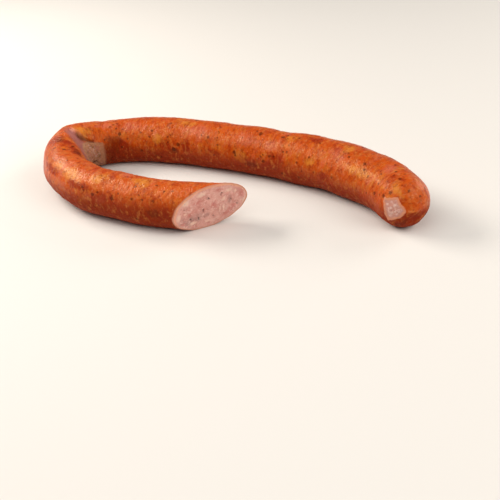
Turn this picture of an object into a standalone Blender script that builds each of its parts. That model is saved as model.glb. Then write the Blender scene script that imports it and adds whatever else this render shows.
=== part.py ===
"""A ring of smoked sausage, cut once on a slant: a gut casing round a firm meat filling.

Metres, +Z up. The ring lies on the plane z = 0 with its two arms along X and its bend at -X:
the long arm, at +Y, ends in the rounded closed end, and the short arm, at -Y, ends in the cut.
The origin is the middle of the ring's outline, on the plane that it lies on.
"""
import math

import bmesh
import bpy
import numpy as np
from mathutils import Matrix, Vector

MM = 0.001

# Centreline, seen from above. It starts at the centre of the closed end's dome and runs back
# along the long arm, round the bend and out along the short arm, always turning left.
START_X, START_Y = 136.5, -0.4  # mm
START_HEADING = 125.6  # degrees from +X
TURN = (  # (mm along the centreline, degrees of turn in each centimetre)
    (0, 9.6),
    (50, 3.2),
    (140, 0.7),
    (225, 2.4),
    (255, 7.6),
    (275, 8.4),
    (290, 20.0),
    (303, 24.0),
    (320, 9.5),
    (350, 9.2),
    (400, 2.0),
    (500, 2.0),
)
THICKNESS = (  # (mm along the centreline, mm from it to the casing's outside)
    (0, 18.7),
    (60, 19.5),
    (140, 18.5),
    (200, 18.5),
    (240, 18.0),
    (280, 18.0),
    (302, 19.8),
    (322, 17.6),
    (350, 17.3),
    (420, 17.0),
    (500, 17.3),
)
SETTLE = 0.6  # mm that the underside is flattened by the sausage's own weight

CASING_WALL = 0.5  # mm of gut and the dry rind that peels away with it
GAP = 0.3  # mm between the casing and the filling

# The cut: a flat face where it crosses the centreline, its direction taken from the arm's own.
CUT_AT = 475.0  # mm along the centreline
CUT_SLANT = 51.7  # degrees that the face turns away from square, towards the front
CUT_LEAN = 11.0  # degrees that its top edge leans out over its foot

SPARE = 32.0  # mm of sausage past the cut, which the knife takes off
KNIFE = 84.0  # mm, side of the block that stands for what is cut away

SIDES = 22  # of a cross-section: an even number with a flat side underneath
LONGEST_STEP = 9.0  # mm between cross-sections along a straight stretch
LARGEST_TURN = 9.0  # degrees between cross-sections round the bend
DOME_STEPS = 6  # cross-sections from the tip of the closed end to its full width
FINE = 0.5  # mm between the points that the centreline is worked out on
WELD = 1e-6  # m, between a tube's sides and its caps


def centreline():
    """Points every FINE mm, from the heading that the turn rate adds up to: x, y, heading, all arrays."""
    along = np.arange(0.0, CUT_AT + SPARE + 2 * FINE, FINE)
    rate = np.radians(np.interp(along, *zip(*TURN))) / 10
    turned = np.concatenate([[0.0], np.cumsum((rate[1:] + rate[:-1]) / 2 * FINE)])
    heading = math.radians(START_HEADING) + turned
    middle = (heading[1:] + heading[:-1]) / 2
    x = START_X + np.concatenate([[0.0], np.cumsum(np.cos(middle) * FINE)])
    y = START_Y + np.concatenate([[0.0], np.cumsum(np.sin(middle) * FINE)])
    return along, x, y, heading


ALONG, LINE_X, LINE_Y, HEADING = centreline()


def thickness(along):
    return float(np.interp(along, *zip(*THICKNESS)))


def place(along):
    """The centreline's point at this distance, in mm. Before 0 it runs straight on, into the dome."""
    x = float(np.interp(along, ALONG, LINE_X)) + min(along, 0) * math.cos(HEADING[0])
    y = float(np.interp(along, ALONG, LINE_Y)) + min(along, 0) * math.sin(HEADING[0])
    return Vector((x, y, thickness(along) - SETTLE))


def sections(inset, end):
    """(mm along, mm of radius) of each cross-section of a tube set in from the casing's outside."""
    dome = thickness(0) - inset
    found = []
    for step in range(DOME_STEPS):
        angle = math.radians(90) * (step + 0.15) / DOME_STEPS
        found.append((-dome * math.cos(angle), dome * math.sin(angle)))
    along = 0.0
    while along < end:
        found.append((along, thickness(along) - inset))
        rate = float(np.interp(along, *zip(*TURN)))
        along += min(LONGEST_STEP, 10 * LARGEST_TURN / rate)
    found.append((end, thickness(end) - inset))
    return found


def tube(name, inset, end, material, collection):
    """A solid sausage shape, inset mm inside the casing's outside, flattened where it would sink."""
    curve = bpy.data.curves.new(name + "_line", "CURVE")
    curve.dimensions = "3D"
    curve.twist_mode = "Z_UP"
    curve.bevel_depth = MM  # so that a point's radius is in mm
    curve.bevel_resolution = (SIDES - 4) // 2
    curve.use_fill_caps = True
    found = sections(inset, end)
    spline = curve.splines.new("POLY")
    spline.points.add(len(found) - 1)
    for point, (along, radius) in zip(spline.points, found):
        point.co = (*(place(along) * MM), 1)
        point.radius = radius
    guide = bpy.data.objects.new(name + "_line", curve)
    collection.objects.link(guide)
    bpy.context.view_layer.update()
    shaped = guide.evaluated_get(bpy.context.evaluated_depsgraph_get())
    mesh = bpy.data.meshes.new_from_object(shaped)
    mesh.name = name
    bpy.data.objects.remove(guide)
    bpy.data.curves.remove(curve)
    shape = bmesh.new()
    shape.from_mesh(mesh)
    bmesh.ops.remove_doubles(shape, verts=shape.verts, dist=WELD)
    for vertex in shape.verts:
        vertex.co.z = max(vertex.co.z, inset * MM)
    bmesh.ops.recalc_face_normals(shape, faces=shape.faces)
    shape.to_mesh(mesh)
    shape.free()
    mesh.materials.clear()
    mesh.materials.append(material)
    mesh.shade_smooth()
    mesh.set_sharp_from_angle(angle=math.radians(40))
    made = bpy.data.objects.new(name, mesh)
    collection.objects.link(made)
    return made


def knife(collection):
    """The block that stands for the piece cut away: its near face is the cut."""
    turned = math.degrees(float(np.interp(CUT_AT, ALONG, HEADING))) - CUT_SLANT
    lean = math.radians(CUT_LEAN)
    facing = Vector((
        math.cos(lean) * math.cos(math.radians(turned)),
        math.cos(lean) * math.sin(math.radians(turned)),
        -math.sin(lean),
    ))
    mesh = bpy.data.meshes.new("cut_away")
    block = bmesh.new()
    bmesh.ops.create_cube(block, size=KNIFE * MM)
    block.to_mesh(mesh)
    block.free()
    made = bpy.data.objects.new("cut_away", mesh)
    made.rotation_euler = facing.to_track_quat("Z", "Y").to_euler()
    made.location = (place(CUT_AT) + facing * KNIFE / 2) * MM
    collection.objects.link(made)
    return made


def take_away(piece, cutter):
    cut = piece.modifiers.new("without_" + cutter.name, "BOOLEAN")
    cut.operation = "DIFFERENCE"
    cut.solver = "EXACT"
    cut.object = cutter


def principled(name, colour, roughness):
    material = bpy.data.materials.new(name)
    material.use_nodes = True
    shader = material.node_tree.nodes["Principled BSDF"]
    shader.inputs["Base Color"].default_value = (*colour, 1)
    shader.inputs["Roughness"].default_value = roughness
    shader.inputs["Metallic"].default_value = 0.0
    return material


def main():
    for old in list(bpy.data.objects):
        bpy.data.objects.remove(old)
    parts = bpy.data.collections.new("smoked_sausage_ring")
    cutters = bpy.data.collections.new("cutters")
    for collection in (parts, cutters):
        bpy.context.scene.collection.children.link(collection)

    smoked_gut = principled("smoked_gut", (0.52, 0.16, 0.045), 0.38)
    cured_meat = principled("cured_meat", (0.62, 0.27, 0.22), 0.5)

    end = CUT_AT + SPARE
    casing = tube("casing", 0, end - 2 * FINE, smoked_gut, parts)
    filling = tube("filling", CASING_WALL + GAP, end - 2 * FINE, cured_meat, parts)
    inside = tube("casing_inside", CASING_WALL, end, smoked_gut, cutters)
    cut_away = knife(cutters)
    for cutter in (inside, cut_away):
        cutter.hide_render = True
        cutter.display_type = "WIRE"
    take_away(casing, inside)
    take_away(casing, cut_away)
    take_away(filling, cut_away)


main()
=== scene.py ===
"""A ring of smoked sausage lying on a pale floor, cut once on a slant so that the meat shows.

Two pieces stand for the two solids of the frame: the smoked gut, a thin closed shell, and the
cured meat inside it. Both are grids carried along one centreline. Lengths in the shape functions
are in millimetres, and put_mesh turns them to metres.
"""
import math

import bpy
import numpy as np
from mathutils import Matrix


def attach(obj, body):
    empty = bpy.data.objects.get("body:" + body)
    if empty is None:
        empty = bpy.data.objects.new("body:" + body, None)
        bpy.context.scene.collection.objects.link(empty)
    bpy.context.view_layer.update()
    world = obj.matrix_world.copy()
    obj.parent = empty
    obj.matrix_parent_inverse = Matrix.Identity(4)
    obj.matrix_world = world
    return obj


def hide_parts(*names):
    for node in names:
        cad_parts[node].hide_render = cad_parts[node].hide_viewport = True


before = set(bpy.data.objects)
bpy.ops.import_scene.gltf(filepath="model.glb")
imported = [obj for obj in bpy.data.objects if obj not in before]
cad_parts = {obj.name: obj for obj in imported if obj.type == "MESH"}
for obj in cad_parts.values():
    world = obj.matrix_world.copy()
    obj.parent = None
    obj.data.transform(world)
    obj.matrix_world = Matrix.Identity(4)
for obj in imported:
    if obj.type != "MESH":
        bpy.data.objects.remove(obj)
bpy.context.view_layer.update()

MM = 0.001
TAU = 2 * math.pi

# The centreline, as in the frame: it starts at the centre of the closed end's dome and runs back
# along the long arm, round the bend and out along the short arm, always turning left.
START_X, START_Y = 136.5, -0.4
START_HEADING = 125.6  # degrees from +X
TURN = (  # (mm along the centreline, degrees of turn in each centimetre)
    (0, 9.6),
    (50, 3.2),
    (140, 0.7),
    (225, 2.4),
    (255, 7.6),
    (275, 8.4),
    (290, 20.0),
    (303, 24.0),
    (320, 9.5),
    (350, 9.2),
    (400, 2.0),
    (500, 2.0),
)
THICKNESS = (  # (mm along the centreline, mm from it to the casing's outside)
    (0, 18.7),
    (60, 19.5),
    (140, 18.5),
    (200, 18.5),
    (240, 18.0),
    (280, 18.0),
    (302, 19.8),
    (322, 17.6),
    (350, 17.3),
    (420, 17.0),
    (500, 17.3),
)
SETTLE = 0.6  # mm that the ring has sunk by flattening under its own weight
CUT_AT = 475.0  # mm along, where the cut crosses the centreline
CUT_SLANT = 51.7  # degrees that the cut is turned from square across the arm
CUT_LEAN = 11.0  # degrees that the cut face leans to look down
SPARE = 40.0  # mm of centreline past the cut, for the cut's far side
FINE = 0.5  # mm between the centreline's points

GUT_WALL = 0.45  # mm
MEAT_GAP = 0.05  # mm between the gut and the meat

GUT_ROWS, GUT_COLUMNS = 476, 136
MEAT_ROWS, MEAT_COLUMNS = 238, 176
FACE_RINGS = 70
DOME_SHARE = 0.06  # of a grid's rows, for the dome
STRETCHED = 45.0  # mm before the cut over which a grid's rows are stretched to meet it
FAR_OUTSIDE = -20.0  # mm inside a mark, for a point that is nowhere near it


# ---------------------------------------------------------------- the ring's shape


def centreline():
    """Points every FINE mm: the heading is the running sum of the turn rate, and x and y are the
    running sums of its cosine and sine."""
    along = np.arange(0.0, CUT_AT + SPARE, FINE)
    rate = np.radians(np.interp(along, *zip(*TURN))) / 10
    turned = np.concatenate([[0.0], np.cumsum((rate[1:] + rate[:-1]) / 2 * FINE)])
    heading = math.radians(START_HEADING) + turned
    middle = (heading[1:] + heading[:-1]) / 2
    x = START_X + np.concatenate([[0.0], np.cumsum(np.cos(middle) * FINE)])
    y = START_Y + np.concatenate([[0.0], np.cumsum(np.sin(middle) * FINE)])
    return along, x, y, heading


ALONG, LINE_X, LINE_Y, HEADING = centreline()


def thickness(along):
    """Straight lines between the stated thicknesses, rounded off over a centimetre each way."""
    steps = (-10, -5, 0, 5, 10)
    return sum(np.interp(along + step, *zip(*THICKNESS)) for step in steps) / len(steps)


DOME = float(thickness(0.0))


def ring_surface(along, around, inset):
    """Places and outward normals on the ring, inset mm inside its outside, as arrays of one shape.

    around is the angle in a section: 0 on the inside of the ring, a quarter turn at the top.
    From along = 0 on, a point is the centreline's point plus the radius times the radial
    direction. Before 0 the ring is half a ball round the centreline's start: there along is minus
    the ball's radius times the cosine of the angle from the tip. The straight place is the same
    point with the centreline pulled straight along X."""
    in_dome = along < 0
    at = np.maximum(along, 0.0)
    heading = np.interp(at, ALONG, HEADING)
    radius = np.where(in_dome, DOME, thickness(at)) - inset
    forward = np.where(in_dome, np.maximum(along, -DOME) / DOME, 0.0)
    outward = np.sqrt(1 - forward**2)
    sideways = np.cos(around) * outward
    upward = np.sin(around) * outward
    normal = np.stack([
        np.cos(heading) * forward - np.sin(heading) * sideways,
        np.sin(heading) * forward + np.cos(heading) * sideways,
        upward,
    ], -1)
    middle = np.stack([
        np.interp(at, ALONG, LINE_X),
        np.interp(at, ALONG, LINE_Y),
        np.where(in_dome, DOME, thickness(at)) - SETTLE,
    ], -1)
    straight = np.stack([at + radius * forward, radius * sideways, radius * upward], -1)
    return middle + normal * radius[..., None], normal, straight


def cut_plane():
    """A point of the cut and its outward normal."""
    place, _, _ = ring_surface(np.array(CUT_AT), np.array(0.0), float(thickness(CUT_AT)))
    turned = float(np.interp(CUT_AT, ALONG, HEADING)) - math.radians(CUT_SLANT)
    lean = math.radians(CUT_LEAN)
    facing = np.array([
        math.cos(lean) * math.cos(turned),
        math.cos(lean) * math.sin(turned),
        -math.sin(lean),
    ])
    return place, facing


CUT_PLACE, CUT_FACING = cut_plane()


def cut_along(around, inset):
    """How far along each line of the surface meets the cut: the distance to the plane, divided by
    how squarely the line meets it, taken off until it is nothing."""
    along = np.full(around.shape, CUT_AT)
    for _ in range(12):
        place, _, _ = ring_surface(along, around, inset)
        heading = np.interp(along, ALONG, HEADING)
        squarely = np.cos(heading) * CUT_FACING[0] + np.sin(heading) * CUT_FACING[1]
        along = along - (place - CUT_PLACE) @ CUT_FACING / squarely
    return along


def swells(points, size, seed, waves=40):
    """Smooth lumps about size mm wide: a sum of plane waves with random directions and phases,
    lengths near twice the size, scaled to a spread of 1."""
    random = np.random.default_rng(seed)
    direction = random.normal(size=(waves, 3))
    direction /= np.linalg.norm(direction, axis=1, keepdims=True)
    length = 2 * size * random.uniform(0.7, 1.4, waves)
    phase = random.uniform(0, TAU, waves)
    turns = points @ (direction * (TAU / length)[:, None]).T + phase
    return np.cos(turns).sum(-1) * math.sqrt(2 / waves)


def step_up(value, low, high):
    """0 below low, 1 above high, and the smooth step 3t^2 - 2t^3 between."""
    t = np.clip((value - low) / (high - low), 0, 1)
    return t * t * (3 - 2 * t)


def turn_apart(around, centre):
    """The angle from centre to around, the short way round, in degrees."""
    return np.degrees((around - math.radians(centre) + math.pi) % TAU - math.pi)


# Marks on the skin. Each place is (mm along the centreline, degrees around a section).
# The stick that the ring hung on kept the smoke off a patch on the inside of the bend. These are
# its corners.
STICK_PATCH = (
    (313, 38),
    (272, 20),
    (262, -30),
    (270, -50),
    (316, -50),
    (325, -10),
    (325, 14),
    (321, 30),
)
PATCH_EDGE = 277.0  # mm along, where the patch ends in a straight edge round the section
# From the patch a pinched fold runs up over the bend, and a crease lies under the long arm's bulge.
FOLD = ((322, 14), (319, 30), (315, 48), (309.5, 66), (305, 84), (301, 106))
CREASE = ((290, 28), (297, 32), (303, 39), (306, 47), (306, 57), (304, 66))
# The closed end touched its neighbour in the smokehouse: the way to that mark from the dome's
# middle, and its corners on the flat that touches the dome there, as (mm to the tip, mm up).
TOUCH_CENTRE = (-0.69, 0.72, 0.08)
TOUCH_MARK = ((-6.5, 7.5), (3.2, 9.6), (9.4, 2.0), (6.6, -3.6), (-2.4, -8.4), (-4.8, -3.0))
# The gut was tied off just under the middle of the closed end, this way from the dome's middle.
PUCKER = (-0.96, -0.10, -0.26)
# Where the stuffing stands out or sinks.
BULGES = (  # (mm along, degrees around, mm wide, mm high)
    (298, 132, 13, 1.3),
    (296, 56, 8, 1.0),
    (352, 186, 24, -1.0),
    (272, 105, 10, -0.6),
    (281, -38, 10, 0.9),
    (90, 95, 20, 0.3),
    (120, 100, 12, -0.4),
    (468, 96, 18, 0.6),
    (476, 106, 12, 1.4),
    (488, 76, 15, 1.4),
    (288, 62, 9, 0.5),
)
# Lean meat seen through the gut: (mm along, degrees around, mm half long, mm half round). Fat
# seen through it, thick smoke and the darkest smoke follow in the same form. Three of the fat's
# places on the bend's top are painted highlight. Two of the thick smoke's places and most of the
# darkest smoke's are painted shade inside the bend, under the dome and on the short arm's side.
ROSY = (
    (64, 60, 9, 7),
    (120, 46, 9, 6),
    (141, 50, 12, 7),
    (188, 56, 15, 6),
    (248, 60, 12, 6),
    (272, 70, 8, 5),
    (330, 168, 16, 8),
    (395, 168, 12, 5),
    (410, 82, 6, 6),
    (-6, 150, 9, 8),
    (12, 80, 7, 6),
)
GOLDEN_AND_HIGHLIGHT = (
    (30, 38, 14, 5),
    (56, 82, 6, 6),
    (82, 26, 5, 4),
    (105, 74, 6, 5),
    (144, 8, 7, 6),
    (196, 76, 10, 5),
    (222, 28, 7, 5),
    (298, 60, 9, 7),
    # These three, along the bend's top, are painted highlight.
    (350, 124, 10, 5),
    (368, 122, 11, 6),
    (392, 112, 9, 6),
    (385, 188, 7, 7),
    (428, 100, 9, 8),
    (430, 196, 9, 6),
    (400, 196, 6, 5),
    (-9, 58, 6, 4),
)
RUDDY = (
    (68, 3, 6, 4),
    (86, 84, 8, 4),
    (113, 8, 8, 8),
    (121, -8, 6, 6),
    (135, -8, 9, 7),
    (166, 4, 7, 5),
    (195, 12, 5, 7),
    (212, 14, 9, 5),
    # These two are painted shade inside the bend, under the long arm.
    (258, 4, 10, 8),
    (268, -14, 10, 9),
    (316, 112, 8, 6),
    (322, 80, 8, 6),
    (345, 142, 12, 4),
    (336, 60, 9, 7),
    (380, 146, 16, 4),
    (404, 154, 9, 5),
    (446, 172, 9, 8),
    (-14, -60, 8, 7),
)
# Mostly painted shade: inside the bend under the long arm, low on the long arm, under the dome and on
# the short arm's outer side. The two on the bend's top, at 316 and 338 mm, are dark smoke.
DARK_SMOKE_AND_SHADE = (
    (270, 2, 10, 14),
    (272, -26, 9, 10),
    (262, 22, 8, 6),
    (283, -44, 6, 4),
    (316, 96, 7, 5),
    (338, 52, 8, 5),
    (206, -2, 6, 4),
    (135, -12, 8, 4),
    (-15, -58, 6, 5),
    (440, 176, 7, 5),
)
PEPPER = (  # (mm along, degrees around, mm of radius)
    (132, 72, 1.5),
    (136, 79, 0.8),
    (34, 59, 1.2),
    (31, 47, 1.1),
    (8, 17, 1.3),
    (24, 39, 0.8),
    (8, 39, 0.9),
    (83, 35, 0.9),
    (104, 36, 0.8),
    (124, 5, 1.1),
    (118, 21, 0.8),
    (112, 73, 1.1),
    (150, 15, 1.3),
    (175, 42, 1.0),
    (202, 16, 1.4),
    (206, 3, 1.5),
    (212, 33, 0.8),
    (227, 48, 1.0),
    (258, 40, 1.4),
    (261, 56, 0.9),
    (257, 6, 1.0),
    (237, -5, 1.0),
    (334, 87, 1.3),
    (327, 64, 1.1),
    (318, 97, 0.7),
    (354, 98, 0.8),
    (384, 146, 0.9),
    (393, 157, 1.1),
    (409, 156, 1.3),
    (397, 149, 0.8),
    (425, 116, 0.8),
    (425, 148, 0.8),
    (441, 147, 0.8),
    (443, 71, 0.9),
    (-8, 44, 1.1),
    (-5, 28, 0.9),
    (-3, 78, 1.0),
    (7, 84, 0.9),
    (-13, 85, 0.9),
    (-15, 123, 0.7),
)
MORE_PEPPER = 300  # finer crumbs at random places


def on_skin(along, around, place):
    """mm along and mm round from a place to each point, measured on the skin: along is shortened
    where the bend draws the skin together."""
    there, up = place[:2]
    radius = float(thickness(max(there, 0)))
    rate = math.radians(np.interp(there, *zip(*TURN))) / 10
    gathered = max(1 - radius * math.cos(math.radians(up)) * rate, 0.25)
    return (along - there) * gathered, np.radians(turn_apart(around, up)) * radius


def mounds(along, around, places):
    """The greatest of 1 - r^2 over the places, r being the share of a place's half sizes, and 0
    where there is none."""
    most = np.zeros(along.shape)
    for place in places:
        there, up = on_skin(along, around, place)
        most = np.maximum(most, 1 - (there / place[2]) ** 2 - (up / place[3]) ** 2)
    return most


BEND_FROM, BEND_MIDDLE, BEND_TO = 255, 305, 350  # mm along
BEND_GATHER = 0.68  # share of the length that is drawn together on the inside of the bend
MM_PER_DEGREE = 0.32  # round the section, where the ring is 18.3 mm in radius


def bend_share(around):
    """The share of its length along the centreline that the skin keeps in the bend."""
    return 1 - BEND_GATHER * np.cos(around)


def on_bend(along, around):
    """mm across and mm up on the skin of the bend, from the middle of its inside."""
    return (along - BEND_MIDDLE) * bend_share(around), turn_apart(around, 0) * MM_PER_DEGREE


CORNER_SHARPNESS = 2.6  # the higher, the less a mark's corners are rounded


def inside_of(across, up, corners):
    """mm inside a polygon without hollows: the least distance d to the lines of its sides, with
    the corners rounded: -log(sum(exp(-k d))) / k, k being the corners' sharpness."""
    middle = np.mean(corners, axis=0)
    total = np.zeros(across.shape)
    for (x0, y0), (x1, y1) in zip(corners, corners[1:] + corners[:1]):
        facing = np.array([y1 - y0, x0 - x1]) / math.hypot(x1 - x0, y1 - y0)
        if facing @ (middle - (x0, y0)) < 0:
            facing = -facing
        away = (across - x0) * facing[0] + (up - y0) * facing[1]
        total = total + np.exp(-CORNER_SHARPNESS * np.clip(away, FAR_OUTSIDE, -FAR_OUTSIDE))
    return -np.log(total) / CORNER_SHARPNESS


def from_line(across, up, points):
    """(mm from a line of straight runs, mm to its left, share of the way along it)."""
    nearest = np.full(across.shape, 1e9)
    side = np.zeros(across.shape)
    way = np.zeros(across.shape)
    for run, ((x0, y0), (x1, y1)) in enumerate(zip(points[:-1], points[1:])):
        length = math.hypot(x1 - x0, y1 - y0)
        ahead = np.array([x1 - x0, y1 - y0]) / length
        on = (across - x0) * ahead[0] + (up - y0) * ahead[1]
        off = (up - y0) * ahead[0] - (across - x0) * ahead[1]
        away = np.hypot(off, on - np.clip(on, 0, length))
        closer = away < nearest
        nearest = np.where(closer, away, nearest)
        side = np.where(closer, off, side)
        way = np.where(closer, (run + np.clip(on / length, 0, 1)) / (len(points) - 1), way)
    return nearest, side, way


def bend_points(places):
    """Places on the skin, (mm along, degrees around), in the bend's mm across and mm up."""
    return [tuple(map(float, on_bend(along, math.radians(up)))) for along, up in places]


def stick_marks(along, around):
    """The stick's marks at each point: mm inside the patch, and from 0 to 1 how much fold, lip
    and crease there is. These three, but not the patch, are the same above and below the ring's
    middle height.

    The fold is a flat-topped bell of the distance from its line, narrower towards its far end.
    The lip is a bell beside the fold's left edge. The crease is a bell of the distance from its
    own line, widest halfway along it."""
    near_bend = (along > BEND_FROM) & (along < BEND_TO)
    across, up = on_bend(along, around)
    to_edge = (along - PATCH_EDGE) * bend_share(around)
    patch = np.minimum(inside_of(across, up, bend_points(STICK_PATCH)), to_edge)
    patch = np.where(near_bend, patch, FAR_OUTSIDE)
    fold, lip, crease = np.zeros((3, *along.shape))
    for turned in (around, -around):
        across, up = on_bend(along, turned)
        away, left, way = from_line(across, up, bend_points(FOLD))
        half_wide = 5.6 - 2.8 * way
        fading = step_up(way, 0.8, 1.0)
        sunk = np.exp(-((away / half_wide) ** 4)) * (1 - 0.6 * fading)
        raised = np.exp(-(((left - half_wide - 0.9) / 1.2) ** 2)) * step_up(way, 0.12, 0.35)
        away, _, way = from_line(across, up, bend_points(CREASE))
        half_wide = 0.9 + 1.0 * np.sin(math.pi * np.clip(way, 0.0, 1.0))
        pressed = np.exp(-((away / half_wide) ** 2))
        fold = np.maximum(fold, sunk * near_bend)
        lip = np.maximum(lip, raised * (1 - fading) * near_bend)
        crease = np.maximum(crease, pressed * near_bend)
    return patch, fold, lip, crease


def touch_field(straight):
    """mm inside the touch mark, its outline made uneven by small swells. The dome's places are
    laid flat, as mm along a level line towards the tip and mm up."""
    toward = np.array([-TOUCH_CENTRE[1], TOUCH_CENTRE[0], 0.0])
    toward /= np.linalg.norm(toward)
    field = inside_of(straight @ toward, straight[..., 2], TOUCH_MARK)
    field = field + 0.5 + 0.22 * swells(straight, 1.9, 18)
    beside = (straight @ TOUCH_CENTRE > 0) & (straight[..., 0] < 2)
    return np.where(beside, field, FAR_OUTSIDE)


def pepper_field(straight):
    """The greatest of 1 - (distance - radius + 1) / 2.4 over the crumbs of pepper, held between 0
    and 1: about 0.6 at a crumb's edge, and 0 from 1.4 mm outside it."""
    random = np.random.default_rng(7)
    places = list(PEPPER)
    for _ in range(MORE_PEPPER):
        along_at, around_at = random.uniform(-16, 470), random.uniform(-90, 270)
        places.append((along_at, around_at, random.uniform(0.3, 0.85)))
    most = np.zeros(straight.shape[:-1])
    for there, up, radius in places:
        _, _, middle = ring_surface(np.array(float(there)), np.array(math.radians(up)), 0.0)
        near = np.abs(straight[..., 0] - middle[0]) < 5
        away = np.linalg.norm(straight[near] - middle, axis=-1)
        most[near] = np.maximum(most[near], 1 - (away - radius + 1.0) / 2.4)
    return np.clip(most, 0, 1)


# How far the stuffing and the marks stand out or sink, in mm.
SWELL, LUMP, GRAIN = 0.27, 0.09, 0.05
PATCH_SUNK, FOLD_SUNK, CREASE_SUNK, LIP_RAISED = 0.35, 0.8, 1.3, 0.45
TOUCH_SUNK, TOUCH_RIM_RAISED = 0.45, 0.22
CRINKLE, WRINKLE_SUNK = 0.10, 0.14
PUCKER_SUNK, PLEAT_SUNK = 0.8, 0.3
CRUMB_RAISED = 0.10


def stuffing_relief(along, around, straight, smooth):
    """mm that the stuffing lifts the gut: broad swells, lumps where pieces of meat press on it, a
    fine grain that runs round it, and the bulges, each a bell of its own width."""
    out = SWELL * swells(straight * (0.8, 1, 1), 15, 11)
    out = out + LUMP * swells(straight, 5.0, 12) * smooth
    out = out + GRAIN * swells(straight * (1.7, 1, 1), 2.6, 13) * smooth
    for place in BULGES:
        there, up = on_skin(along, around, place)
        out = out + place[3] * np.exp(-(there**2 + up**2) / (0.7 * place[2]) ** 2)
    return out


def bend_wrinkles(along, around, straight):
    """From 0 to 1, how deep the gut is wrinkled across the inside of the bend: narrow valleys of
    the absolute value of a wandering sine, fading out over a bell's width each way."""
    inner = np.exp(-((turn_apart(around, 0) / 62) ** 4)) * np.exp(-(((along - 297) / 30) ** 4))
    ridge = np.abs(np.sin(along / 3.1 + 0.8 * swells(straight, 9, 15))) ** 0.7
    return inner * (1 - ridge)


def tied_end(straight):
    """From 0 to 1, how far the gut is drawn in where it was tied, and how deep the nine pleats
    round it are. Both are bells of the angle from the tie, seen from the dome's middle."""
    toward = straight @ PUCKER / (DOME * np.linalg.norm(PUCKER))
    tied = np.degrees(np.arccos(np.clip(toward, -1, 1)))
    tied = np.where(straight[..., 0] < 0, tied, 180.0)
    beside = np.arctan2(straight[..., 2] - PUCKER[2] * DOME, straight[..., 1] - PUCKER[1] * DOME)
    pleats = 0.5 + 0.5 * np.cos(9 * beside + 0.9 * swells(straight, 6, 16))
    return np.exp(-((tied / 9) ** 2)), np.exp(-(((tied - 12) / 8) ** 2)) * pleats


def skin_relief(along, around, straight):
    """mm that the skin stands out from the plain ring, and the fields of the marks on it.

    On the stuffing's relief the stick's patch and the touch mark are flattened and crinkled, the
    fold and the crease are sunk, the fold has a lip and the touch mark a rim, the inside of the
    bend is wrinkled, the closed end is drawn in, and crumbs of pepper stand out."""
    patch, fold, lip, crease = stick_marks(along, around)
    touch = touch_field(straight)
    flat = np.maximum(step_up(patch, -1, 1.5), step_up(touch, -1, 1.5))
    out = stuffing_relief(along, around, straight, 1 - 0.6 * flat)
    out = out - PATCH_SUNK * step_up(patch, -1, 3) - FOLD_SUNK * fold
    out = out + LIP_RAISED * lip - CREASE_SUNK * crease
    out = out + CRINKLE * swells(straight * (1, 1.6, 1.6), 1.8, 17) * flat
    touch_rim = np.exp(-(((touch - 0.4) / 0.9) ** 2))
    out = out - TOUCH_SUNK * step_up(touch, 0.2, 2.2) + TOUCH_RIM_RAISED * touch_rim
    out = out - WRINKLE_SUNK * bend_wrinkles(along, around, straight) * (1 - flat)
    pucker, pleats = tied_end(straight)
    out = out - PUCKER_SUNK * pucker - PLEAT_SUNK * pleats
    pepper = pepper_field(straight)
    out = out + CRUMB_RAISED * step_up(pepper, 0.45, 0.8)
    fields = {
        "patch": np.minimum(patch, 1.5),
        "fold": fold,
        "lip": lip,
        "crease": crease,
        "touch": np.minimum(touch, 2.5),
        "pucker": pucker,
        "pepper": pepper,
        "rosy": mounds(along, around, ROSY),
        "golden": mounds(along, around, GOLDEN_AND_HIGHLIGHT),
        "ruddy": mounds(along, around, RUDDY),
        "dusky": mounds(along, around, DARK_SMOKE_AND_SHADE),
    }
    return out, fields


def painted_shade_depth(along, around):
    """Painted shade, from 0 where the skin is lightest to 1 where it is darkest: the underside, and
    the short arm's outer side. It rises as the skin turns to face down."""
    facing_up = np.sin(around)
    outer = step_up(along, 340, 410) * step_up(-np.cos(around), -0.3, 0.5)
    start = 0.42 + 0.40 * outer
    return step_up(start - facing_up, 0.0, 0.95)


# ---------------------------------------------------------------- meshes from grids


def grid_faces(rows, columns):
    """Quads of a tube of rows x columns points, after one pole point and before another."""
    row = 1 + columns * np.arange(rows - 1)[:, None]
    here = np.arange(columns)[None, :]
    after = (here + 1) % columns
    quads = np.stack([row + here, row + after, row + columns + after, row + columns + here], -1)
    start = np.stack([0 * here[0], 1 + after[0], 1 + here[0]], -1)
    last = 1 + columns * (rows - 1)
    end = np.stack([0 * here[0] + last + columns, last + here[0], last + after[0]], -1)
    return quads.reshape(-1, 4), np.concatenate([start, end])


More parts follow.
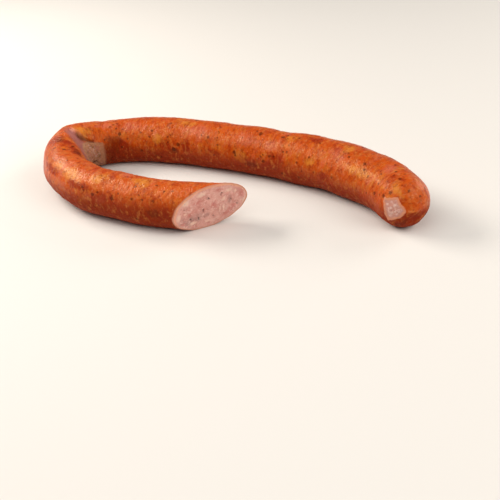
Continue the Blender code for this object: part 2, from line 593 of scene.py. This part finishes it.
def put_mesh(name, points, poles, attributes, pole_attributes, material):
    """An object from a grid of points (rows, columns, 3) closed by two poles, all in mm, with
    number or vector attributes on its points, and a pair of their values for the poles."""
    rows, columns = points.shape[:2]
    quads, fans = grid_faces(rows, columns)
    places = np.concatenate([poles[0][None], points.reshape(-1, 3), poles[1][None]]) * MM
    mesh = bpy.data.meshes.new(name)
    mesh.vertices.add(len(places))
    mesh.vertices.foreach_set("co", places.astype(np.float32).ravel())
    corners = np.concatenate([quads.ravel(), fans.ravel()]).astype(np.int32)
    sides = np.concatenate([np.full(len(quads), 4), np.full(len(fans), 3)]).astype(np.int32)
    mesh.loops.add(len(corners))
    mesh.loops.foreach_set("vertex_index", corners)
    mesh.polygons.add(len(sides))
    starts = np.concatenate([[0], np.cumsum(sides)[:-1]]).astype(np.int32)
    mesh.polygons.foreach_set("loop_start", starts)
    mesh.update(calc_edges=True)
    for key, value in attributes.items():
        ends = pole_attributes.get(key, (0.0, 0.0))
        if value.ndim == 3:
            first, last = np.array(ends[0])[None], np.array(ends[1])[None]
            both = np.concatenate([first, value.reshape(-1, 3), last])
            layer = mesh.attributes.new(key, "FLOAT_VECTOR", "POINT")
            layer.data.foreach_set("vector", both.astype(np.float32).ravel())
        else:
            both = np.concatenate([[ends[0]], value.ravel(), [ends[1]]])
            layer = mesh.attributes.new(key, "FLOAT", "POINT")
            layer.data.foreach_set("value", both.astype(np.float32))
    mesh.validate()
    mesh.shade_smooth()
    mesh.materials.append(material)
    made = bpy.data.objects.new(name, mesh)
    bpy.context.scene.collection.objects.link(made)
    return made


def rows_along(count, cut):
    """A grid's distances along: evenly by angle over the dome, evenly on over the arms, and
    stretched over the last stretch so that the last row lies in the cut."""
    dome_rows = max(6, int(count * DOME_SHARE))
    angle = (np.arange(dome_rows) + 0.5) / dome_rows * math.pi / 2
    dome = -DOME * np.cos(angle)
    body = np.linspace(0, 1, count - dome_rows)[:, None]
    plain = CUT_AT - STRETCHED
    body_along = body * CUT_AT
    past = np.maximum(body_along - plain, 0) / STRETCHED
    body_along = np.minimum(body_along, plain) + past * (cut[None, :] - plain)
    return np.concatenate([np.repeat(dome[:, None], len(cut), 1), body_along])


SOFTNESS = 0.35  # mm over which the underside turns flat
RING_HIGH = 36.0  # mm


def settle(points, floor):
    """Nothing sinks below the floor: the height z over it becomes (z + sqrt(z^2 + s^2)) / 2, s
    being the softness, less what that adds at the top of the ring."""
    low = points[..., 2] - floor
    raised = (low + np.sqrt(low**2 + SOFTNESS**2)) / 2
    points[..., 2] = floor + raised - SOFTNESS**2 / (4 * RING_HIGH)
    return points


def onto_cut(points, over):
    """The last rows, over of them, are drawn along the arm by a share that grows row by row, so
    that the last one lies in the cut's plane."""
    heading = np.interp(CUT_AT, ALONG, HEADING)
    arm = np.array([math.cos(heading), math.sin(heading), 0.0])
    short = (points[-1] - CUT_PLACE) @ CUT_FACING / (arm @ CUT_FACING)
    share = (np.arange(over) + 1.0)[:, None] / over
    points[-over:] -= (share * short[None, :])[..., None] * arm
    return points


def wall(rows, columns, inset):
    """A grid on the ring, inset mm inside the skin and with all its relief, from the tip to the
    cut: its points, their straight places, their (along, around) and the fields of the marks."""
    around = (np.arange(columns) / columns * TAU)[None, :] + math.radians(-90)
    along = rows_along(rows, cut_along(around[0], inset))
    turn = np.broadcast_to(around, along.shape)
    points, normal, straight = ring_surface(along, turn, inset)
    out, fields = skin_relief(along, turn, straight)
    if inset > 0:
        # The meat and the lining stay clear of the skin where the tied end draws it in sharply.
        out = out - 1.3 * fields["pucker"] ** 0.2
    points = onto_cut(settle(points + normal * out[..., None], inset), max(2, rows // 60))
    return points, straight, (along, turn), fields


def end_means(field):
    """A field's means over a grid's first and last rows, for its two poles."""
    return float(field[0].mean()), float(field[-1].mean())


def smoked_gut_shell(material):
    """The gut: out along the skin from the tip to the cut, over the rounded rim, and back along
    its lining to the tip."""
    skin, straight, place, fields = wall(GUT_ROWS, GUT_COLUMNS, 0.0)
    lining, straight_in, _, _ = wall(GUT_ROWS // 2, GUT_COLUMNS, GUT_WALL)
    lining, straight_in = lining[::-1], straight_in[::-1]
    # The rim stands out by a fifth of the wall halfway between the skin and the lining.
    rim = (skin[-1] + lining[0]) / 2 + CUT_FACING * GUT_WALL * 0.2
    rim_straight = (straight[-1] + straight_in[0]) / 2
    points = np.concatenate([skin, rim[None], lining])
    hidden = np.zeros((1 + len(lining), GUT_COLUMNS))
    # The cut edge is pale for 0.35 mm back from the cut.
    by_rim = np.exp(-(((CUT_PLACE - skin) @ CUT_FACING / 0.35) ** 2)) * (place[0] > CUT_AT - SPARE)
    level = {name: np.concatenate([field, hidden]) for name, field in fields.items()}
    level["patch"][len(skin):] = FAR_OUTSIDE
    level["touch"][len(skin):] = FAR_OUTSIDE
    # The smoke mark is painted shade: darker as the skin faces down, and on the short arm's outer
    # side.
    level["smoke"] = np.concatenate([painted_shade_depth(*place), hidden])
    level["rim"] = np.concatenate([by_rim, hidden + 1])
    level["straight"] = np.concatenate([straight, rim_straight[None], straight_in]) * MM
    poles = (skin[0].mean(0), lining[-1].mean(0))
    tip = (-DOME * MM, 0.0, 0.0)
    ends = {name: end_means(field) for name, field in level.items() if field.ndim == 2}
    ends["straight"] = (tip, tip)
    return put_mesh("smoked_gut", points, poles, level, ends, material)


# The cut face, with places as (mm right, mm up) from its middle. Air holes: radius in mm.
HOLES = (
    (8.3, 8.9, 0.95),
    (-1.4, 7.4, 0.8),
    (-5.4, -1.9, 1.0),
    (2.1, -9.0, 0.85),
    (-9.3, -7.9, 0.8),
    (-15.2, -7.6, 0.7),
    (15.6, 2.2, 0.5),
    (-19.5, 2.5, 0.5),
    (20.0, -3.5, 0.45),
)
# Pieces of lean, fat and gristle: (right, up, half long, half wide, degrees turned).
LEAN = (
    (23.6, 4.6, 4.6, 2.8, 70),
    (-9.5, 6.4, 5.5, 2.0, 10),
    (16.4, -4.6, 4.6, 3.0, 40),
    (2.5, 0.5, 5.0, 3.6, 80),
    (-20.6, -9.8, 2.6, 1.6, 20),
    (-15.8, -3.2, 2.4, 1.8, 60),
    (6.5, 12.5, 4.5, 2.0, 0),
    (12.0, -9.0, 3.6, 1.8, 20),
)
FAT = (
    (7.0, -3.2, 4.2, 0.75, 84),
    (9.8, -3.6, 3.2, 0.7, 88),
    (10.0, 4.8, 2.6, 1.3, 60),
    (-6.5, 12.2, 4.6, 2.2, 15),
    (-18.6, 8.0, 3.4, 2.4, 50),
    (-24.0, -3.6, 3.8, 1.8, 75),
    (-18.8, -1.2, 1.4, 1.0, 30),
    (14.0, 10.5, 3.0, 1.6, 10),
    (-13.4, -11.0, 3.4, 1.5, 10),
    (25.2, -1.4, 3.2, 1.1, 75),
    (-2.6, -12.0, 2.6, 1.0, 5),
    (18.6, 8.6, 2.2, 1.0, 80),
)
GRISTLE = (
    (-10.5, -6.6, 4.4, 3.0, 20),
    (14.4, 2.4, 4.8, 1.8, 84),
    (-3.0, -6.4, 3.0, 2.2, 10),
    (-21.0, -5.6, 3.0, 2.0, 40),
    (-14.0, -8.0, 12.0, 5.5, 15),
)


def pieces_field(right, up, pieces):
    """The greatest of 1 - r over the pieces, r being the share of a piece's half sizes."""
    most = np.full(right.shape, -2.0)
    for there, above, half_long, half_wide, turned in pieces:
        c, s = math.cos(math.radians(turned)), math.sin(math.radians(turned))
        ahead = (right - there) * c + (up - above) * s
        beside = (up - above) * c - (right - there) * s
        most = np.maximum(most, 1 - np.hypot(ahead / half_long, beside / half_wide))
    return most


def cured_meat_filling(material):
    """The meat: from the tip along the inside of the gut to the cut, then in over the cut face in
    rings that shrink towards its middle. The face is a little uneven: soft swells, bits of meat
    and fat that stand out or sink, and air holes."""
    side, _, _, _ = wall(MEAT_ROWS, MEAT_COLUMNS, GUT_WALL + MEAT_GAP)
    edge = side[-1]
    right_way = np.cross((0, 0, 1.0), CUT_FACING)
    right_way /= np.linalg.norm(right_way)
    up_way = np.cross(CUT_FACING, right_way)
    spread = [(edge @ way).min() / 2 + (edge @ way).max() / 2 for way in (right_way, up_way)]
    middle = CUT_PLACE + right_way * (spread[0] - CUT_PLACE @ right_way)
    middle = middle + up_way * (spread[1] - CUT_PLACE @ up_way)
    share = 1 - (np.arange(1, FACE_RINGS + 1) / (FACE_RINGS + 0.5))
    flat = middle + share[:, None, None] * (edge - middle)[None]
    right, up = (flat - middle) @ right_way, (flat - middle) @ up_way
    lean, fat, gristle = (pieces_field(right, up, each) for each in (LEAN, FAT, GRISTLE))
    inside = step_up(1 - share, 0, 0.10)[:, None]
    rise = inside * (
        0.30
        + 0.12 * swells(flat, 5.5, 21)
        + 0.08 * np.tanh(1.6 * swells(flat, 2.4, 22))
        + 0.045 * swells(flat, 1.1, 23)
        - 0.10 * step_up(lean, 0.0, 0.4)
        + 0.10 * step_up(fat, 0.0, 0.4)
    )
    hole = np.zeros_like(right)
    for there, above, radius in HOLES:
        away = np.hypot((right - there) * 1.25, (up - above) * 0.85)
        away = away + 0.22 * swells(flat, 0.9, 24)
        hole = np.maximum(hole, 1 - step_up(away, radius * 0.45, radius * 1.3))
    face = flat + CUT_FACING * (rise - 0.9 * hole)[..., None]

    points = np.concatenate([side, face])
    outside = np.zeros(side.shape[:2])
    depth = np.linalg.norm(flat - edge, axis=-1)
    level = {
        "hole": np.concatenate([outside, hole]),
        "lean": np.concatenate([outside - 2, lean]),
        "fat": np.concatenate([outside - 2, fat]),
        "gristle": np.concatenate([outside - 2, gristle]),
        "depth": np.concatenate([outside, depth]),
        "upper_left": np.concatenate([outside, step_up(up * 0.9 - right * 0.35, -4, 8)]),
    }
    poles = (side[0].mean(0), face[-1].mean(0))
    ends = {name: end_means(field) for name, field in level.items()}
    return put_mesh("cured_meat", points, poles, level, ends, material)


# ---------------------------------------------------------------- materials


def linear(code):
    """The linear colour of an sRGB hex code, with alpha 1."""
    found = []
    for start in (1, 3, 5):
        part = int(code[start:start + 2], 16) / 255
        found.append(part / 12.92 if part <= 0.04045 else ((part + 0.055) / 1.055) ** 2.4)
    return (*found, 1.0)


def add(tree, kind, settings=(), values=(), links=()):
    """A new node: settings are its properties, values go on its sockets and links feed them."""
    made = tree.nodes.new(kind)
    for key, value in dict(settings).items():
        setattr(made, key, value)
    for key, value in dict(values).items():
        made.inputs[key].default_value = value
    for key, source in dict(links).items():
        tree.links.new(source, made.inputs[key])
    return made


def empty_material(name):
    """A material and its node tree with nothing in it."""
    material = bpy.data.materials.new(name)
    material.use_nodes = True
    material.node_tree.nodes.clear()
    return material, material.node_tree


SEED_STEP = 7.31  # along the noise's fourth axis, from one seed's pattern to the next


def patches(tree, where, width, seed, low, high, detail=2.0, rough=0.55, warp=0.0, push=None):
    """A mask of soft patches about width mm across: noise with cells of that size, then a smooth
    step from low to high. detail, rough and warp are the noise's octaves, their falling off and
    its distortion. push is (a field, how much of it is added to the noise first)."""
    noise = add(tree, "ShaderNodeTexNoise", {"noise_dimensions": "4D"}, {
        "W": seed * SEED_STEP, "Scale": 1 / (width * MM), "Detail": detail, "Roughness": rough,
        "Distortion": warp,
    }, {"Vector": where})
    value = noise.outputs["Fac"]
    if push:
        value = add(tree, "ShaderNodeMath", {"operation": "MULTIPLY_ADD"}, {1: push[1]}, {
            0: push[0], 2: value,
        }).outputs[0]
    step = add(tree, "ShaderNodeMapRange", {"interpolation_type": "SMOOTHSTEP"}, {
        "From Min": low, "From Max": high,
    }, {"Value": value})
    return step.outputs["Result"]


def layered(tree, code, layers):
    """A base colour with each (mask, strength, hex colour) laid over it in turn."""
    below = None
    for mask, strength, over in layers:
        share = add(tree, "ShaderNodeMath", {"operation": "MULTIPLY", "use_clamp": True}, {
            1: strength,
        }, {0: mask})
        links = {0: share.outputs[0]}
        if below is not None:
            links[6] = below
        mixed = add(tree, "ShaderNodeMix", {"data_type": "RGBA"}, {
            6: linear(code), 7: linear(over),
        }, links)
        below = mixed.outputs[2]
    return below


def attribute(tree, name, vector=False):
    """What a piece's points carry under that name."""
    found = add(tree, "ShaderNodeAttribute", {"attribute_name": name})
    return found.outputs["Vector" if vector else "Fac"]


def stretched(tree, where, amounts):
    """Places multiplied along X, Y and Z, so that a pattern on them narrows by as much."""
    return add(tree, "ShaderNodeVectorMath", {"operation": "MULTIPLY"}, {1: amounts}, {
        0: where,
    }).outputs[0]


SKIN_MARKS = (
    "patch", "fold", "lip", "crease", "touch", "pucker", "pepper",
    "rosy", "golden", "ruddy", "dusky", "smoke", "rim",
)
MEAT_MARKS = ("hole", "lean", "fat", "gristle", "depth", "upper_left")


def smoked_gut_material():
    """Pork gut, smoked to orange-brown over meat that shows through it: thin, greasy and satin.
    To the eye it is mottled from golden over fat and rosy over lean to red-brown where the smoke
    was thickest, in streaks that run round the ring, with crumbs of pepper under the skin. Painted
    shade darkens it underneath, on the short arm's outer side, inside the bend and in the crease,
    and painted highlight lightens the top of the bend and the fold's lip."""
    material, tree = empty_material("smoked_gut")
    where = attribute(tree, "straight", vector=True)
    across = stretched(tree, where, (1.5, 1, 1))
    fibres = stretched(tree, where, (1.7, 1, 1))
    gathered = stretched(tree, where, (0.4, 1, 1))  # the bend draws the patch together
    mark = {name: attribute(tree, name) for name in SKIN_MARKS}

    # The meat and the smoke, in mottles that wander like the meat's own grain. Where the marks push
    # them, some are painted shade inside the bend and underneath, and painted highlight on the bend.
    drift = patches(tree, where, 30, 1, 0.44, 0.62)
    fat = patches(tree, across, 9, 2, 0.46, 0.80, 4, 0.66, 0.5, push=(mark["golden"], 0.25))
    lean = patches(tree, across, 9, 3, 0.48, 0.82, 4, 0.66, 0.5, push=(mark["rosy"], 0.24))
    thick_smoke_and_shade = patches(tree, across, 7, 4, 0.48, 0.74, 4, 0.66, 0.5, push=(mark["ruddy"], 0.24))
    dark_smoke_and_shade = patches(tree, across, 8, 10, 0.66, 0.90, 3, 0.6, 0.3, push=(mark["dusky"], 0.48))
    small_fat = patches(tree, across, 5, 5, 0.50, 0.70, 4, 0.66, 0.4)
    small_smoke = patches(tree, across, 4, 6, 0.50, 0.70, 4, 0.66, 0.4)
    pale_fibres = patches(tree, fibres, 2.8, 8, 0.52, 0.74, 3, 0.65)
    dark_fibres = patches(tree, fibres, 2.6, 7, 0.52, 0.74, 3, 0.65)
    crumbs = patches(tree, where, 1.0, 9, 0.84, 1.16, 2, 0.6, push=(mark["pepper"], 1.0))

    # The stick's patch and the touch mark: a ragged outline, then mottles of three tones inside.
    patch = patches(tree, where, 2.2, 31, -0.6, 0.9, 3, 0.6, push=(mark["patch"], 1.0))
    patch_pink = patches(tree, gathered, 2.6, 32, 1.38, 1.56, 3, 0.6, 0.4, push=(mark["patch"], 0.6))
    patch_olive = patches(tree, gathered, 2.2, 35, 1.40, 1.54, 3, 0.6, 0.4, push=(mark["patch"], 0.6))
    patch_pale = patches(tree, gathered, 2.2, 37, 1.42, 1.58, 3, 0.6, 0.4, push=(mark["patch"], 0.6))
    touch = patches(tree, where, 1.8, 33, 0.1, 0.9, 3, 0.6, push=(mark["touch"], 1.0))
    touch_pink = patches(tree, where, 2.0, 34, 1.3, 2.4, 3, 0.6, 0.6, push=(mark["touch"], 1.0))
    touch_brown = patches(tree, where, 2.6, 36, 0.78, 0.98, 3, 0.6, 0.2, push=(mark["touch"], 0.12))
    touch_pale = patches(tree, where, 2.2, 38, 0.74, 0.96, 3, 0.6, 0.2, push=(mark["touch"], 0.12))

    colour = layered(tree, "#C44E0C", (
        (drift, 0.45, "#B4400A"),
        # Fat seen through the gut, and painted highlight on the bend's top.
        (fat, 0.84, "#D07E2A"),
        (lean, 0.82, "#C8644A"),
        (pale_fibres, 0.46, "#DC9868"),
        # The smoke mark's two layers are painted shade, underneath and on the short arm's outer side.
        (mark["smoke"], 0.86, "#962400"),
        # Thick smoke, and painted shade inside the bend.
        (thick_smoke_and_shade, 0.86, "#8E2006"),
        (mark["smoke"], 0.56, "#741600"),
        (small_fat, 0.50, "#CE7E3E"),
        (small_smoke, 0.68, "#862208"),
        # Dark smoke, and painted shade inside the bend, under the dome and on the short arm's outer
        # side.
        (dark_smoke_and_shade, 0.62, "#661602"),
        (dark_fibres, 0.42, "#8A2200"),
        (crumbs, 0.72, "#4A1004"),
        (mark["pucker"], 0.75, "#7A1808"),
        (mark["fold"], 0.88, "#9A625E"),
        # The lip's lighter colour is a painted highlight along the fold's edge.
        (mark["lip"], 0.40, "#CC7C50"),
        (patch, 0.88, "#A87658"),
        (patch_pink, 0.65, "#A4605C"),
        (patch_olive, 0.62, "#6A4C2C"),
        (patch_pale, 0.66, "#CCA698"),
        # The crease's dark colour is painted shadow in the groove.
        (mark["crease"], 0.80, "#461404"),
        (touch, 0.88, "#DA9474"),
        (touch_pink, 0.75, "#C48E86"),
        (touch_brown, 0.50, "#96605A"),
        (touch_pale, 0.62, "#ECCEC2"),
        (mark["rim"], 0.85, "#D69880"),
    ))
    coarse = add(tree, "ShaderNodeTexNoise", {}, {"Scale": 1 / (2.6 * MM), "Detail": 2.0}, {
        "Vector": across,
    })
    grain = add(tree, "ShaderNodeTexNoise", {}, {"Scale": 1 / (1.3 * MM), "Detail": 3.0}, {
        "Vector": across,
    })
    bump = add(tree, "ShaderNodeBump", {}, {"Strength": 0.8, "Distance": 0.36 * MM}, {
        "Height": coarse.outputs["Fac"],
    })
    fine = add(tree, "ShaderNodeBump", {}, {"Strength": 0.8, "Distance": 0.24 * MM}, {
        "Height": grain.outputs["Fac"], "Normal": bump.outputs["Normal"],
    })
    gloss = add(tree, "ShaderNodeMapRange", {}, {
        "From Min": 0.3, "From Max": 0.7, "To Min": 0.26, "To Max": 0.42,
    }, {"Value": coarse.outputs["Fac"]})
    # The skin is rougher where the painted shade of the smoke mark is deepest.
    dull = add(tree, "ShaderNodeMath", {"operation": "MULTIPLY_ADD"}, {1: 0.45}, {
        0: mark["smoke"], 2: gloss.outputs[0],
    })
    shader = add(tree, "ShaderNodeBsdfPrincipled", {}, {
        "IOR": 1.45, "Specular IOR Level": 0.34, "Specular Tint": linear("#FFDC9C"),
        "Subsurface Weight": 0.05, "Subsurface Radius": (1.0, 0.3, 0.1), "Subsurface Scale": 1.5 * MM,
    }, {"Base Color": colour, "Roughness": dull.outputs[0], "Normal": fine.outputs["Normal"]})
    add(tree, "ShaderNodeOutputMaterial", {}, {}, {"Surface": shader.outputs[0]})
    return material


def cured_meat_material():
    """Chopped pork, cured and hot-smoked, cut with a knife: pink lean and cream fat pressed
    together, moist and half matt, peach close to the gut, with small air holes painted dark as
    shade."""
    material, tree = empty_material("cured_meat")
    where = add(tree, "ShaderNodeTexCoord").outputs["Object"]
    mark = {name: attribute(tree, name) for name in MEAT_MARKS}
    # The outer 2 mm dried in the smoke, and more so at the upper left of the cut face.
    rind = add(tree, "ShaderNodeMapRange", {"interpolation_type": "SMOOTHSTEP"}, {
        "From Min": 2.2, "From Max": 0.2,
    }, {"Value": mark["depth"]}).outputs["Result"]
    smoky = add(tree, "ShaderNodeMath", {"operation": "MULTIPLY"}, {}, {
        0: rind, 1: mark["upper_left"],
    }).outputs[0]

    drift = patches(tree, where, 8, 11, 0.46, 0.62, 3, 0.6, 0.6)
    gristle = patches(tree, where, 3.0, 17, 0.35, 1.30, 3, 0.6, 1.0, push=(mark["gristle"], 0.9))
    lean = patches(tree, where, 3.0, 12, 0.42, 1.20, 3, 0.6, 1.0, push=(mark["lean"], 0.9))
    small_lean = patches(tree, where, 3.6, 13, 0.54, 0.70, 3, 0.6, 0.8)
    small_fat = patches(tree, where, 4.5, 18, 0.54, 0.68, 3, 0.6, 1.0)
    fat = patches(tree, where, 2.2, 19, 0.40, 1.05, 3, 0.6, 0.9, push=(mark["fat"], 1.0))
    fat_specks = patches(tree, where, 1.5, 14, 0.57, 0.70, 2)
    lean_specks = patches(tree, where, 1.2, 15, 0.60, 0.71, 2)
    ragged_rind = patches(tree, where, 2.6, 20, 0.70, 1.20, 3, 0.6, 0.6, push=(rind, 0.6))

    colour = layered(tree, "#DFA598", (
        (drift, 0.62, "#CA8478"),
        (gristle, 0.75, "#AC8078"),
        (lean, 0.75, "#CA746A"),
        (small_lean, 0.62, "#C2766C"),
        (small_fat, 0.62, "#ECC2B4"),
        (fat, 0.80, "#ECC4B0"),
        (fat_specks, 0.45, "#F0D0C2"),
        (lean_specks, 0.50, "#9A5E56"),
        (ragged_rind, 0.38, "#E6B294"),
        (smoky, 0.70, "#F0A070"),
        # The air holes are painted dark, as shade in them.
        (mark["hole"], 0.75, "#6E443C"),
    ))
    grain = add(tree, "ShaderNodeTexNoise", {}, {"Scale": 1 / (1.0 * MM), "Detail": 3.0}, {
        "Vector": where,
    })
    bump = add(tree, "ShaderNodeBump", {}, {"Strength": 0.5, "Distance": 0.25 * MM}, {
        "Height": grain.outputs["Fac"],
    })
    shader = add(tree, "ShaderNodeBsdfPrincipled", {}, {
        "IOR": 1.42, "Roughness": 0.48,
        "Subsurface Weight": 0.2, "Subsurface Radius": (1.0, 0.4, 0.3), "Subsurface Scale": 1.5 * MM,
    }, {"Base Color": colour, "Normal": bump.outputs["Normal"]})
    add(tree, "ShaderNodeOutputMaterial", {}, {}, {"Surface": shader.outputs[0]})
    return material


def floor_material():
    """Matt white paper, so that the light comes back softly under the ring."""
    material, tree = empty_material("studio_paper")
    shader = add(tree, "ShaderNodeBsdfPrincipled", {}, {
        "Base Color": linear("#E4E2DE"), "Roughness": 0.9,
    })
    add(tree, "ShaderNodeOutputMaterial", {}, {}, {"Surface": shader.outputs[0]})
    return material


# ---------------------------------------------------------------- camera, light and floor

CAMERA_PLACE = (0.2376, -0.4694, 0.2805)  # m
CAMERA_TURN = 25.0  # degrees from looking along +Y, towards -X
CAMERA_PITCH = 32.15  # degrees down
CAMERA_ROLL = -4.13  # degrees
CAMERA_LENS = 56.26  # mm
CAMERA_SENSOR = 36.0  # mm wide
FLOOR_REACH = 3.0  # m each way from the middle


def put_camera():
    """The camera: turned round Z, tipped down, then rolled about its own view."""
    camera = bpy.data.cameras.new("camera")
    camera.lens = CAMERA_LENS
    camera.sensor_width = CAMERA_SENSOR
    camera.clip_start = 0.01
    made = bpy.data.objects.new("camera", camera)
    made.matrix_world = (
        Matrix.Translation(CAMERA_PLACE)
        @ Matrix.Rotation(math.radians(CAMERA_TURN), 4, "Z")
        @ Matrix.Rotation(math.radians(90 - CAMERA_PITCH), 4, "X")
        @ Matrix.Rotation(math.radians(CAMERA_ROLL), 4, "Z")
    )
    bpy.context.scene.collection.objects.link(made)
    bpy.context.scene.camera = made


def put_softbox(name, azimuth, elevation, distance, width, height, watts, code):
    """An area light that looks at the ring's middle from that direction and distance in m:
    azimuth is in degrees from +X, anticlockwise seen from above."""
    light = bpy.data.lights.new(name, "AREA")
    light.shape = "RECTANGLE"
    light.size = width
    light.size_y = height
    light.energy = watts
    light.color = linear(code)[:3]
    made = bpy.data.objects.new(name, light)
    made.matrix_world = (
        Matrix.Rotation(math.radians(azimuth - 90), 4, "Z")
        @ Matrix.Rotation(math.radians(elevation), 4, "X")
        @ Matrix.Translation((0, distance, 0))
        @ Matrix.Rotation(math.radians(-90), 4, "X")
    )
    bpy.context.scene.collection.objects.link(made)


def put_studio():
    """A window at the bend's end that draws the highlight on the bend, a large soft light high in
    front, one from behind the closed end, one from in front of the cut, and the floor."""
    put_softbox("window", 178, 36, 1.0, 0.66, 0.30, 9.0, "#FFF5EA")
    put_softbox("overhead", -110, 62, 1.1, 1.2, 1.0, 6.2, "#FFFAF4")
    put_softbox("side", 48, 22, 1.2, 0.6, 0.6, 5.0, "#FFF8F0")
    put_softbox("fill", -10, 34, 1.2, 0.8, 0.7, 6.8, "#FFF8F0")
    world = bpy.data.worlds.new("studio")
    world.use_nodes = True
    world.node_tree.nodes["Background"].inputs["Color"].default_value = (1, 1, 1, 1)
    world.node_tree.nodes["Background"].inputs["Strength"].default_value = 0.14
    bpy.context.scene.world = world
    bpy.context.scene.view_settings.view_transform = "Standard"
    mesh = bpy.data.meshes.new("floor")
    corners = [(x * FLOOR_REACH, y * FLOOR_REACH, 0) for x, y in ((-1, -1), (1, -1), (1, 1), (-1, 1))]
    mesh.from_pydata(corners, [], [(0, 1, 2, 3)])
    mesh.materials.append(floor_material())
    floor = bpy.data.objects.new("floor", mesh)
    bpy.context.scene.collection.objects.link(floor)


put_camera()
put_studio()

gut = smoked_gut_shell(smoked_gut_material())
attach(gut, "root")
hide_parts("casing")

meat = cured_meat_filling(cured_meat_material())
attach(meat, "root")
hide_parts("filling")
